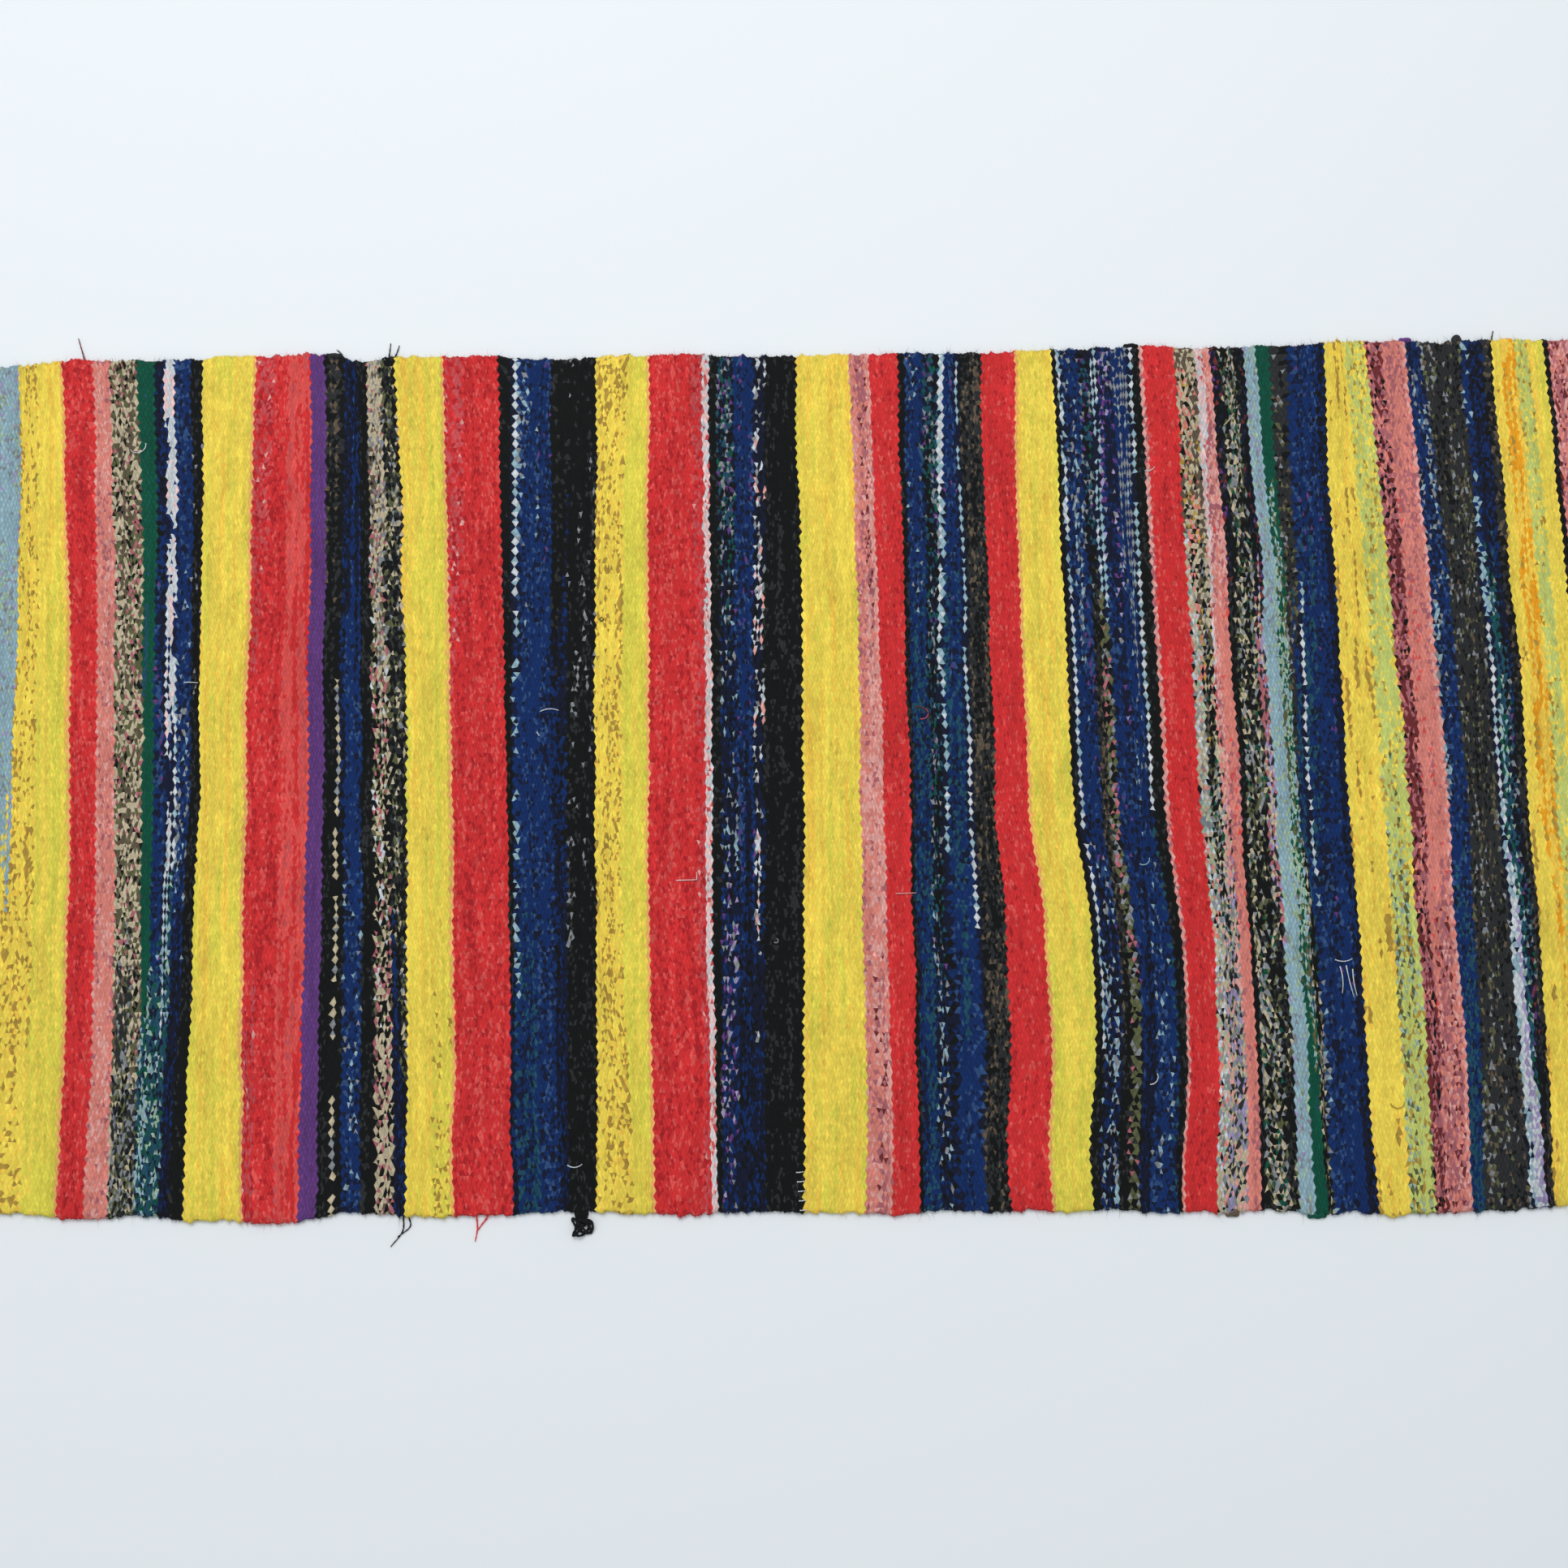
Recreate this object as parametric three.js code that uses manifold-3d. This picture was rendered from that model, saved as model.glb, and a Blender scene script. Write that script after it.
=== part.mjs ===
// Striped flat-woven runner rug, in millimetres, lying flat on the floor.
// X runs along the rug, Y across it from the near selvedge to the far one, Z is up from the floor.

import * as THREE from "three";
import { mergeVertices } from "three/addons/utils/BufferGeometryUtils.js";
import Module from "manifold-3d";

const wasm = await Module();
wasm.setup();

// Cloth
const HALF_LENGTH = 1200;
const SELVEDGE_ROUNDING = 1.3;
const FACE_SEGMENTS_ACROSS = 8;

// Turned end hems
const HEM_DEPTH = 28;
const HEM_STEP = 8;
const HEM_THICKNESS = 7.6;

// Loose yarn
const YARN_WIDTH = 1.6;
const YARN_ROOT = 6;
const YARN_STEPS = 8;
const LOOP_HEIGHT = 3.6;
const LOOP_FACETS_AROUND = 10;
const LOOP_FACETS_UP = 6;

const WELD_DISTANCE = 1e-4;

// Sections of the cloth: place along the rug, the two selvedges and the thickness there
const SECTION_COLUMNS = ["x", "far", "near", "thickness"];
const SECTIONS = [
  [-1080, 328, -327, 4.5],
  [-980, 330, -329, 4.7],
  [-880, 329, -328, 4.4],
  [-780, 331, -328, 4.6],
  [-700, 330, -327, 4.5],
  [-640, 331, -327, 4.6],
  [-610, 331, -326, 4.5],
  [-585, 333, -327, 4.8],
  [-558, 336, -328, 4.8],
  [-530, 334.5, -331.5, 4.7],
  [-505, 335, -331.5, 4.4],
  [-482, 334.5, -330, 4.3],
  [-461, 334, -331, 4.3],
  [-444, 337.5, -335.5, 4.9],
  [-420, 337.5, -333.5, 4.9],
  [-398, 336, -335.5, 4.8],
  [-376, 339, -337.5, 4.8],
  [-356, 336.5, -334.5, 4.4],
  [-334, 331.5, -330, 4.3],
  [-312, 334.5, -330, 4.4],
  [-288, 335, -332, 4.7],
  [-266, 335, -333.5, 4.8],
  [-236, 335, -333.5, 4.8],
  [-206, 332.5, -332.5, 4.4],
  [-178, 331.5, -331, 4.3],
  [-154, 331.5, -329.5, 4.3],
  [-132, 334, -332, 4.9],
  [-104, 333.5, -333, 4.8],
  [-76, 335, -334.5, 4.8],
  [-48, 332.5, -333, 4.4],
  [-12, 332, -332.5, 4.3],
  [18, 332, -334, 4.6],
  [46, 332.5, -334, 4.8],
  [82, 332, -335.5, 4.7],
  [112, 333, -333, 4.4],
  [148, 332, -335, 4.3],
  [174, 332.5, -333.5, 4.7],
  [204, 334.5, -335.5, 4.8],
  [236, 334.5, -333.5, 4.4],
  [262, 335, -336.5, 4.3],
  [284, 336, -336.5, 4.4],
  [304, 336.5, -336, 4.7],
  [326, 334, -337.5, 4.4],
  [352, 334, -335.5, 4.3],
  [386, 335.5, -339.5, 4.4],
  [416, 336, -337.5, 4.3],
  [446, 338, -340.5, 4.9],
  [474, 338, -340, 4.7],
  [498, 338.5, -339, 4.7],
  [522, 335.5, -338, 4.3],
  [550, 338, -336.5, 4.4],
  [578, 338.5, -335, 4.9],
  [604, 337.5, -335, 4.8],
  [636, 338, -336, 4.5],
  [720, 337, -337, 4.6],
  [820, 338, -336, 4.4],
  [920, 336, -337, 4.7],
  [1020, 337, -335, 4.5],
  [1100, 335, -335, 4.6],
];

// Half widths of the two turned ends
const LEFT_END_HALF_WIDTH = 327;
const RIGHT_END_HALF_WIDTH = 334;

// Loose weft ends: place along the rug, the selvedge (1 far, -1 near), how far the tip stands out and leans
const LOOSE_END_COLUMNS = ["x", "selvedge", "reach", "lean", "curl"];
const LOOSE_ENDS = [
  [-554, 1, 354.2, -6, 0],
  [-311, 1, 347, 1, 0],
  [569, 1, 346, 2, 0],
  [-284, -1, 354, -9, 4],
  [-230, -1, 351, -1, 1],
];

// Loops of weft that bulge past the selvedge: place, selvedge, half width and reach from the centre line
const LOOP_COLUMNS = ["x", "selvedge", "halfWidth", "reach"];
const LOOPS = [
  [-355, 1, 6, 339],
  [281, 1, 5, 340],
  [500, 1, 4, 341],
  [541, 1, 5, 344],
  [-153, -1, 7, 347],
  [326, -1, 4, 340],
  [388, -1, 6, 342],
];

function named(columns, row) {
  const entry = {};
  columns.forEach((column, place) => {
    entry[column] = row[place];
  });
  return entry;
}

function hemSections(end, halfWidth) {
  const inner = HALF_LENGTH - HEM_DEPTH;
  const cloth = named(SECTION_COLUMNS, end < 0 ? SECTIONS[0] : SECTIONS[SECTIONS.length - 1]);
  return [
    { x: end * HALF_LENGTH, far: halfWidth, near: -halfWidth, thickness: HEM_THICKNESS },
    { x: end * inner, far: halfWidth, near: -halfWidth, thickness: HEM_THICKNESS },
    { x: end * (inner - HEM_STEP), far: halfWidth, near: -halfWidth, thickness: cloth.thickness },
  ];
}

function allSections() {
  const left = hemSections(-1, LEFT_END_HALF_WIDTH);
  const right = hemSections(1, RIGHT_END_HALF_WIDTH).reverse();
  const middle = SECTIONS.map((row) => named(SECTION_COLUMNS, row));
  return [...left, ...middle, ...right];
}

// A box with one step per section, whose points are moved to the selvedges and thickness of that section
function wovenCloth() {
  const sections = allSections();
  const steps = sections.length - 1;
  const cloth = new THREE.BoxGeometry(steps, 2, 2, steps, FACE_SEGMENTS_ACROSS, 2);
  const points = cloth.attributes.position;
  for (let i = 0; i < points.count; i += 1) {
    const section = sections[Math.round(points.getX(i) + steps / 2)];
    const across = (points.getY(i) + 1) / 2;
    const level = points.getZ(i);
    const inset = level === 0 ? 0 : SELVEDGE_ROUNDING;
    const atEnd = Math.abs(section.x) === HALF_LENGTH;
    const x = section.x - (atEnd ? Math.sign(section.x) * inset : 0);
    const y = THREE.MathUtils.lerp(section.near + inset, section.far - inset, across);
    const z = (section.thickness * (level + 1)) / 2;
    points.setXYZ(i, x, y, z);
  }
  return cloth;
}

function selvedgeAt(x, selvedge) {
  const sections = allSections();
  const next = sections.findIndex((section) => section.x >= x);
  const before = sections[next - 1];
  const after = sections[next];
  const share = (x - before.x) / (after.x - before.x);
  const side = selvedge > 0 ? "far" : "near";
  return Math.abs(THREE.MathUtils.lerp(before[side], after[side], share));
}

// A square strand that leaves the selvedge and lies level on the floor
function looseEnd(row) {
  const end = named(LOOSE_END_COLUMNS, row);
  const edge = selvedgeAt(end.x, end.selvedge);
  const half = YARN_WIDTH / 2;
  const tip = end.reach - half;
  const middle = (edge + tip) / 2;
  const route = new THREE.CatmullRomCurve3([
    new THREE.Vector3(end.x, end.selvedge * (edge - YARN_ROOT), half),
    new THREE.Vector3(end.x, end.selvedge * edge, half),
    new THREE.Vector3(end.x + end.lean / 2 + end.curl, end.selvedge * middle, half),
    new THREE.Vector3(end.x + end.lean, end.selvedge * tip, half),
  ]);
  const section = new THREE.Shape();
  section.moveTo(-half, -half);
  section.lineTo(half, -half);
  section.lineTo(half, half);
  section.lineTo(-half, half);
  return new THREE.ExtrudeGeometry(section, { steps: YARN_STEPS, extrudePath: route });
}

// A flattened bead of yarn that starts inside the selvedge and stands out to its reach
function yarnLoop(row) {
  const loop = named(LOOP_COLUMNS, row);
  const edge = selvedgeAt(loop.x, loop.selvedge);
  const inner = edge - YARN_ROOT;
  const bead = new THREE.SphereGeometry(1, LOOP_FACETS_AROUND, LOOP_FACETS_UP);
  bead.rotateX(Math.PI / 2);
  bead.scale(loop.halfWidth, (loop.reach - inner) / 2, LOOP_HEIGHT / 2);
  bead.translate(loop.x, (loop.selvedge * (loop.reach + inner)) / 2, LOOP_HEIGHT / 2);
  return bead;
}

function solidOf(geometry) {
  const bare = new THREE.BufferGeometry();
  bare.setAttribute("position", geometry.attributes.position);
  bare.setIndex(geometry.index);
  const welded = mergeVertices(bare, WELD_DISTANCE);
  const mesh = new wasm.Mesh({
    numProp: 3,
    vertProperties: Float32Array.from(welded.attributes.position.array),
    triVerts: Uint32Array.from(welded.index.array),
  });
  mesh.merge();
  return new wasm.Manifold(mesh);
}

function geometryOf(solid) {
  const mesh = solid.getMesh();
  const geometry = new THREE.BufferGeometry();
  geometry.setAttribute("position", new THREE.BufferAttribute(mesh.vertProperties, 3));
  geometry.setIndex(new THREE.BufferAttribute(mesh.triVerts, 1));
  return geometry;
}

function rug() {
  let solid = solidOf(wovenCloth());
  for (const row of LOOSE_ENDS) {
    solid = solid.add(solidOf(looseEnd(row)));
  }
  for (const row of LOOPS) {
    solid = solid.add(solidOf(yarnLoop(row)));
  }
  const wool = new THREE.MeshStandardMaterial({ color: 0xb8382f, roughness: 0.95 });
  const mesh = new THREE.Mesh(geometryOf(solid), wool);
  mesh.name = "rug";
  return mesh;
}

const runner = new THREE.Group();
runner.name = "striped_runner_rug";
runner.add(rug());

export default runner;
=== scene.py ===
import math

import bpy
import numpy as np
from mathutils import Matrix, Vector


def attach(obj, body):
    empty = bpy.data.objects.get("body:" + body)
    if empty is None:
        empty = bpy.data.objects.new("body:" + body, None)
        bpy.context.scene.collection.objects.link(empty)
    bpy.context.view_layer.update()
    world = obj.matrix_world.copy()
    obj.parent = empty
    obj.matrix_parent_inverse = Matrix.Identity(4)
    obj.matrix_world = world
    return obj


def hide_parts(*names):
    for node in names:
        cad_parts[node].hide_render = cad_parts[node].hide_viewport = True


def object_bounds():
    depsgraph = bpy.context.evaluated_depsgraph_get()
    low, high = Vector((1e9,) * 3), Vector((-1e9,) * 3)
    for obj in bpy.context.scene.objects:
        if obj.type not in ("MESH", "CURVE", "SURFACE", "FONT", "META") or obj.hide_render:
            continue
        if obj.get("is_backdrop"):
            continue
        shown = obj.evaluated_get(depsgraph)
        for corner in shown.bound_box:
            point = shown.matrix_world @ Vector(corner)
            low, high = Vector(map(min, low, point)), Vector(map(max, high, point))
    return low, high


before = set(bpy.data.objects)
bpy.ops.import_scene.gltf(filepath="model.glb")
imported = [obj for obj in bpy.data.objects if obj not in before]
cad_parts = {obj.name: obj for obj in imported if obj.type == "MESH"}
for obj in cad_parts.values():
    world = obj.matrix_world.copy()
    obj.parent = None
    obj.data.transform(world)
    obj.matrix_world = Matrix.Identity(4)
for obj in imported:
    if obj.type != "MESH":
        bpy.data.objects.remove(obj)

CAD_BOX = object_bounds()

# Striped flat-woven runner: the wefts are laid pick by pick over the warps, as on the loom.
# Lengths in the tables are millimetres; X runs along the rug, Y across it, Z up from the floor.

MM = 0.001
SEED = 41

# Cloth
HALF_LENGTH = 1200.0
HEM_RADIUS = 3.7
PICK_PITCH = 1.3
DOT_PITCH = 2.0
DOTS_BELOW = 7.5
PICK_UNEVEN = 0.16
WARP_PITCH = 4.0
WARP_WANDER = 0.5
NOMINAL_WIDTH = 667.0
SELVEDGE_COLUMNS = 4
SELVEDGE_ROUNDING = 2.6
SELVEDGE_RAG = 0.75
SOLID_ROUNDING = 1.3
TOP_FACE_FROM = 4.0
FLOOR_CLEAR = 0.05

# Weft floats, the small domes that the face is made of, and how light and dark they vary
FLOAT_CREST = 0.3
FLOAT_HOLLOW = -0.38
FLOAT_SWELL = 0.09
CREST_SHIFT = 0.16
HOLLOW_SHIFT = 0.1
BLOTCH_SHADE = 0.04
PICK_SHADE = 0.035
FLOAT_SHADE = 0.045
FACET_SHADE = 0.07
STRETCHES = 6

# Ground under the floats
GROUND_DROP = 1.0
GROUND_INSET = 1.4
GROUND_STEP = 5.0
GROUND_ROWS = 24

# Bands are charted at the middle of the rug and at two lines this far from it. The thirds of a band pass over
# around THIRD_AT, and a band of enough picks has stouter picks at its borders.
CHART_FAR = 295.0
BAND_WANDER = 0.7
THIRD_AT = 125.0
THIRD_WANDER = 55.0
TOOTHED_FROM = 5
BORDER_PICK = 1.3

# The bands sway to the right around one place
SWAY = 8.0
SWAY_PLACE = (241.0, -175.0)
SWAY_REACH = 96.0

# Dyes of each family of yarn, as red, green and blue from 0 to 255
FAMILIES = {
    "yellow": {
        "yellow": (243, 216, 84),
        "gold": (246, 204, 78),
        "lemon": (226, 214, 80),
        "tan": (176, 142, 60),
        "orange": (236, 160, 30),
        "lime": (196, 204, 110),
    },
    "red": {
        "red": (218, 50, 52),
        "dark_red": (184, 36, 42),
        "coral": (228, 84, 80),
        "rose": (206, 82, 86),
        "maroon": (112, 44, 46),
    },
    "pink": {
        "salmon": (224, 134, 122),
        "pink": (230, 164, 156),
        "pale_pink": (238, 202, 200),
        "mauve": (178, 104, 112),
        "peach": (244, 184, 104),
    },
    "black": {
        "black": (15, 17, 17),
        "charcoal": (46, 48, 49),
        "brown": (102, 88, 72),
    },
    "blue": {
        "navy": (14, 46, 102),
        "ink": (18, 25, 50),
        "blue": (48, 80, 128),
        "purple": (104, 62, 130),
        "light_blue": (152, 184, 196),
    },
    "green": {
        "green": (6, 84, 64),
        "teal": (32, 80, 100),
        "olive": (98, 102, 68),
        "mint": (166, 192, 166),
    },
    "pale": {
        "white": (208, 214, 218),
        "cream": (198, 184, 154),
        "grey": (138, 142, 146),
        "lilac": (164, 152, 192),
    },
}

# How far one dye runs in a wool: picks, then warp columns
RUNS = {
    "fleck": (1, 1),
    "short": (1, 3),
    "streak": (2, 9),
    "long": (2, 41),
}
CLUMP = (3, 14, 0.55)


def wool(recipe, run="short", dotted=False):
    """A wool: its dyes and their shares, how far one runs, and if every other pick is the first dye."""
    words = recipe.split()
    shares = np.cumsum([float(share) for share in words[1::2]])
    return {"dyes": words[0::2], "shares": shares / shares[-1], "run": run, "dotted": dotted}


WOOLS = {
    "yellow": wool("lemon 14 yellow 70 gold 16", "long"),
    "lemon": wool("yellow 42 lemon 58", "long"),
    "yellow_tweed": wool("yellow 62 gold 18 tan 20", "fleck"),
    "lemon_tweed": wool("lemon 50 yellow 38 tan 12", "fleck"),
    "golden": wool("yellow 70 gold 22 tan 8", "streak"),
    "orange": wool("gold 50 orange 42 tan 8", "streak"),
    "lime": wool("lime 68 yellow 24 tan 8", "fleck"),
    "sage": wool("lime 60 tan 14 mint 13 olive 13", "fleck"),
    "peach": wool("peach 100"),
    "red": wool("dark_red 16 red 66 coral 18", "fleck"),
    "bright_red": wool("dark_red 6 red 84 coral 10", "fleck"),
    "rose": wool("red 36 rose 44 dark_red 18 pink 2", "fleck"),
    "coral": wool("red 24 coral 62 rose 14", "streak"),
    "salmon": wool("mauve 8 salmon 68 pink 24", "fleck"),
    "warm_salmon": wool("salmon 84 coral 8 mauve 8", "fleck"),
    "terracotta": wool("salmon 74 mauve 26", "fleck"),
    "pink": wool("salmon 34 pink 54 mauve 12", "fleck"),
    "pale_pink": wool("pale_pink 50 white 30 pink 10 rose 10", "fleck"),
    "pink_tweed": wool("mauve 35 salmon 33 maroon 14 pink 18", "fleck"),
    "lilac_pink": wool("pink 24 grey 22 cream 24 charcoal 20 lilac 10", "fleck"),
    "plum_tweed": wool("mauve 36 charcoal 30 lilac 18 cream 16", "fleck"),
    "maroon_tweed": wool("maroon 44 mauve 34 black 11 salmon 11", "fleck"),
    "purple": wool("purple 100", "fleck"),
    "navy": wool("navy 66 blue 16 ink 18", "fleck"),
    "navy_flecked": wool("navy 58 ink 20 blue 15 light_blue 4 grey 3", "fleck"),
    "indigo": wool("navy 55 ink 28 blue 14 purple 3", "fleck"),
    "slate": wool("navy 44 ink 30 blue 12 grey 9 light_blue 5", "fleck"),
    "petrol": wool("teal 36 navy 46 ink 18", "fleck"),
    "starry": wool("navy 48 ink 26 light_blue 26", "fleck"),
    "ink": wool("ink 56 black 22 navy 22", "fleck"),
    "ink_flecked": wool("ink 46 black 18 navy 18 grey 9 light_blue 9", "fleck"),
    "ink_lilac": wool("ink 52 navy 30 purple 8 lilac 5 grey 5", "fleck"),
    "teal_mix": wool("teal 38 ink 20 green 16 mint 10 light_blue 16", "fleck"),
    "black": wool("black 84 charcoal 16", "fleck"),
    "black_flecked": wool("black 82 charcoal 14 grey 4", "fleck"),
    "soft_black": wool("black 16 charcoal 68 brown 6 olive 5 grey 5", "fleck"),
    "brown_black": wool("black 40 charcoal 44 brown 16", "fleck"),
    "dark_mix": wool("black 34 ink 26 teal 20 grey 10 green 6 purple 4", "fleck"),
    "dark_maroon": wool("black 52 ink 24 charcoal 12 maroon 9 purple 3", "fleck"),
    "dark_tweed": wool("black 46 charcoal 28 olive 14 cream 8 grey 4", "fleck"),
    "green_tweed": wool("black 40 charcoal 12 olive 14 cream 14 grey 16 green 4", "fleck"),
    "olive": wool("olive 40 black 28 grey 14 charcoal 10 mauve 8", "fleck"),
    "green": wool("green 92 teal 8", "long"),
    "mint_mix": wool("mint 30 green 30 light_blue 20 olive 20", "fleck"),
    "light_blue": wool("light_blue 76 lilac 6 grey 9 mint 9", "fleck"),
    "light_blue_mint": wool("light_blue 72 mint 22 grey 6", "fleck"),
    "lilac": wool("lilac 54 white 46", "fleck"),
    "brown_tweed": wool("brown 26 cream 38 black 12 olive 18 mauve 6", "fleck"),
    "grey_tweed": wool("charcoal 30 grey 22 olive 20 cream 14 black 14", "fleck"),
    "cream_tweed": wool("cream 44 grey 21 brown 22 mauve 5 black 8", "fleck"),
    "red_tweed": wool("black 42 cream 22 mauve 14 olive 14 white 8", "fleck"),
    "pied": wool("cream 46 black 34 mauve 12 brown 8", "fleck"),
    "rusty_tweed": wool("brown 34 cream 34 tan 6 salmon 12 black 14", "fleck"),
    "mint_tweed": wool("cream 32 white 22 grey 18 mint 10 salmon 10 black 8", "fleck"),
    "white": wool("white 42 light_blue 34 ink 24", "short"),
    "white_clouds": wool("ink 22 navy 16 white 44 pale_pink 18", "streak"),
    "grey_clouds": wool("ink 50 black 20 grey 12 white 12 pink 6", "short"),
    "white_dots": wool("ink 12 white 60 light_blue 28", "short", dotted=True),
    "pale_dots": wool("ink 22 light_blue 58 white 20", "short", dotted=True),
    "cream_dots": wool("black 18 cream 66 grey 16", "short", dotted=True),
    "grey_dots": wool("navy 25 grey 55 light_blue 20", "short", dotted=True),
}

# Bands as they lie: the wool, or the wools of the far, middle and near thirds, then its left edge at
# the far chart line, the middle and the near chart line
BANDS = [
    ("light_blue", -634, -622, -616),
    ("light_blue light_blue yellow_tweed", -614, -602, -604),
    ("yellow_tweed", -602, -590, -592),
    ("yellow lemon lemon", -588, -572, -566),
    ("peach", -569, -549, -541),
    ("red", -567, -546, -539),
    ("salmon", -543, -526, -519),
    ("brown_tweed brown_tweed grey_tweed", -530, -512, -502),
    ("green green teal_mix", -508, -491, -482),
    ("ink indigo teal_mix", -494, -483, -475),
    ("white_clouds white_dots teal_mix", -487, -474, -470),
    ("navy navy_flecked ink", -479, -466, -464),
    ("black_flecked black black", -466, -455, -457),
    ("yellow", -457, -448, -446),
    ("peach", -418, -414, -406),
    ("rose red rose", -416, -411, -404),
    ("red", -400, -400, -396),
    ("coral", -389, -385, -380),
    ("purple", -371, -364, -362),
    ("brown_black black black", -360, -352, -349),
    ("black cream_dots cream_dots", -350, -345, -342),
    ("ink ink black", -345, -340, -336),
    ("ink navy navy_flecked", -341, -336, -331),
    ("black", -334, -323, -317),
    ("cream_tweed red_tweed pied", -327, -315, -306),
    ("dark_tweed dark_tweed ink", -315, -302, -292),
    ("yellow", -303, -289, -283),
    ("lemon lemon lemon_tweed", -280, -268, -264),
    ("peach", -268, -257, -249),
    ("rose red red", -266, -254, -247),
    ("red", -251, -242, -237),
    ("black black ink", -222, -212, -204),
    ("white_dots starry petrol", -213, -208, -201),
    ("navy_flecked navy petrol", -207, -203, -197),
    ("indigo navy navy", -190, -190, -185),
    ("black ink ink", -181, -178, -170),
    ("black_flecked black_flecked black", -168, -166, -163),
    ("yellow_tweed", -145, -144, -142),
    ("lemon", -120, -124, -116),
    ("peach", -105, -105, -101),
    ("red", -103, -103, -99),
    ("rose", -68, -66, -62),
    ("pale_pink", -61, -60, -57),
    ("black", -56, -55, -53),
    ("dark_mix ink_flecked ink_lilac", -50, -48, -49),
    ("indigo indigo ink", -37, -36, -36),
    ("grey_clouds grey_clouds ink", -21, -23, -22),
    ("black", -12, -15, -16),
    ("yellow", 14, 15, 13),
    ("salmon", 56, 59, 57),
    ("pink_tweed pink pink_tweed", 62, 66, 65),
    ("pink", 69, 72, 73),
    ("bright_red", 72, 76, 76),
    ("black", 95, 96, 97),
    ("navy_flecked petrol petrol", 100, 99, 100),
    ("dark_mix dark_mix ink_flecked", 114, 112, 112),
    ("white pale_dots ink", 126, 120, 122),
    ("indigo petrol navy", 131, 125, 128),
    ("pale_dots white_dots navy", 139, 139, 140),
    ("brown_black", 143, 145, 146),
    ("bright_red", 160, 161, 162),
    ("peach", 186, 186, 193),
    ("yellow yellow lemon", 188, 188, 195),
    ("black", 217, 221, 224),
    ("white white_dots black", 220, 224, 228),
    ("slate indigo ink_flecked", 223, 228, 230),
    ("dark_mix brown_black black", 238, 242, 243),
    ("pale_dots olive olive", 246, 247, 250),
    ("ink_lilac indigo ink", 252, 254, 258),
    ("grey_dots navy_flecked navy_flecked", 264, 268, 266),
    ("pale_dots white_dots petrol", 276, 277, 283),
    ("black", 281, 281, 286),
    ("pink", 287, 290, 290),
    ("bright_red", 290, 293, 292),
    ("rusty_tweed mint_tweed mint_tweed", 314, 317, 315),
    ("rusty_tweed green_tweed lilac_pink", 320, 325, 322),
    ("pale_pink pink lilac_pink", 331, 334, 330),
    ("pink warm_salmon terracotta", 337, 339, 338),
    ("dark_maroon black black", 343, 348, 348),
    ("green_tweed", 350, 352, 351),
    ("dark_maroon plum_tweed dark_tweed", 364, 368, 369),
    ("light_blue light_blue_mint light_blue", 370, 375, 376),
    ("green mint_mix green", 379, 386, 387),
    ("soft_black petrol green_tweed", 389, 393, 396),
    ("navy white_dots navy_flecked", 402, 400, 399),
    ("indigo petrol navy", 408, 404, 405),
    ("navy indigo navy", 416, 414, 414),
    ("ink", 424, 426, 425),
    ("golden", 432, 431, 432),
    ("lime lime sage", 450, 457, 457),
    ("maroon_tweed", 468, 476, 476),
    ("terracotta warm_salmon pink_tweed", 481, 487, 485),
    ("pink", 497, 503, 501),
    ("slate navy petrol", 500, 506, 504),
    ("soft_black", 513, 521, 514),
    ("starry white_dots white", 543, 544, 546),
    ("ink teal_mix lilac", 549, 550, 550),
    ("ink dark_mix dark_maroon", 555, 556, 558),
    ("brown_black", 560, 562, 561),
    ("golden", 567, 568, 564),
    ("orange orange golden", 574, 576, 572),
    ("lime", 586, 589, 584),
    ("yellow", 596, 600, 596),
    ("black", 609, 611, 607),
    ("pink_tweed", 613, 615, 611),
]
BANDS_END = 640

# Bands that the two unseen ends take up again, by their number in the list
UNSEEN_RIGHT_FROM = 37
UNSEEN_LEFT_FROM = 95

# Ends of yarn that stick out past a selvedge: place, selvedge (1 far, -1 near), reach, lean, curl and dye
LOOSE_ENDS = [
    (-554, 1, 354.2, -6, 0, "maroon"),
    (-311, 1, 347, 1, 0, "charcoal"),
    (569, 1, 346, 2, 0, "charcoal"),
    (-284, -1, 354, -9, 4, "black"),
    (-230, -1, 351, -1, 1, "red"),
    (-280, -1, 347, -8, 5, "black"),
    (-222, -1, 344, -8, 0, "red"),
    (-306, 1, 345, 3, 0, "charcoal"),
    (-349, 1, 342, -4, 2, "charcoal"),
]

# Loops of weft that bulge past a selvedge: place, selvedge, half width, reach and dye
LOOPS = [
    (-355, 1, 6, 339, "charcoal"),
    (281, 1, 5, 339, "black"),
    (500, 1, 4, 341, "purple"),
    (541, 1, 3, 343, "charcoal"),
    (-153, -1, 4, 340, "black"),
    (326, -1, 4, 340, "brown"),
    (388, -1, 6, 342, "green"),
]
LOOSE_YARN = 1.5
LOOSE_TAPER = 0.45
LOOSE_HEIGHTS = (2.6, 1.7, 1.0, 1.0)
LOOP_YARN = 2.2
LOOP_BUNCH = ((1.4, 1.0), (1.9, 0.8), (2.4, 0.6), (2.6, 0.4), (2.2, 0.2))

# A tangled knot of weft past the near selvedge
KNOT_PLACE = (-152.0, -341.5, 2.7)
KNOT_REACH = (7.8, 6.4, 1.6)
KNOT_YARN = 1.9
KNOT_DYE = "black"

# A short row of white stitches near the near selvedge: where it starts, its step and its count
STITCH_ROW = (5.0, -304.0)
STITCH_STEP = (0.6, -6.8)
STITCHES = 5

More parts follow.
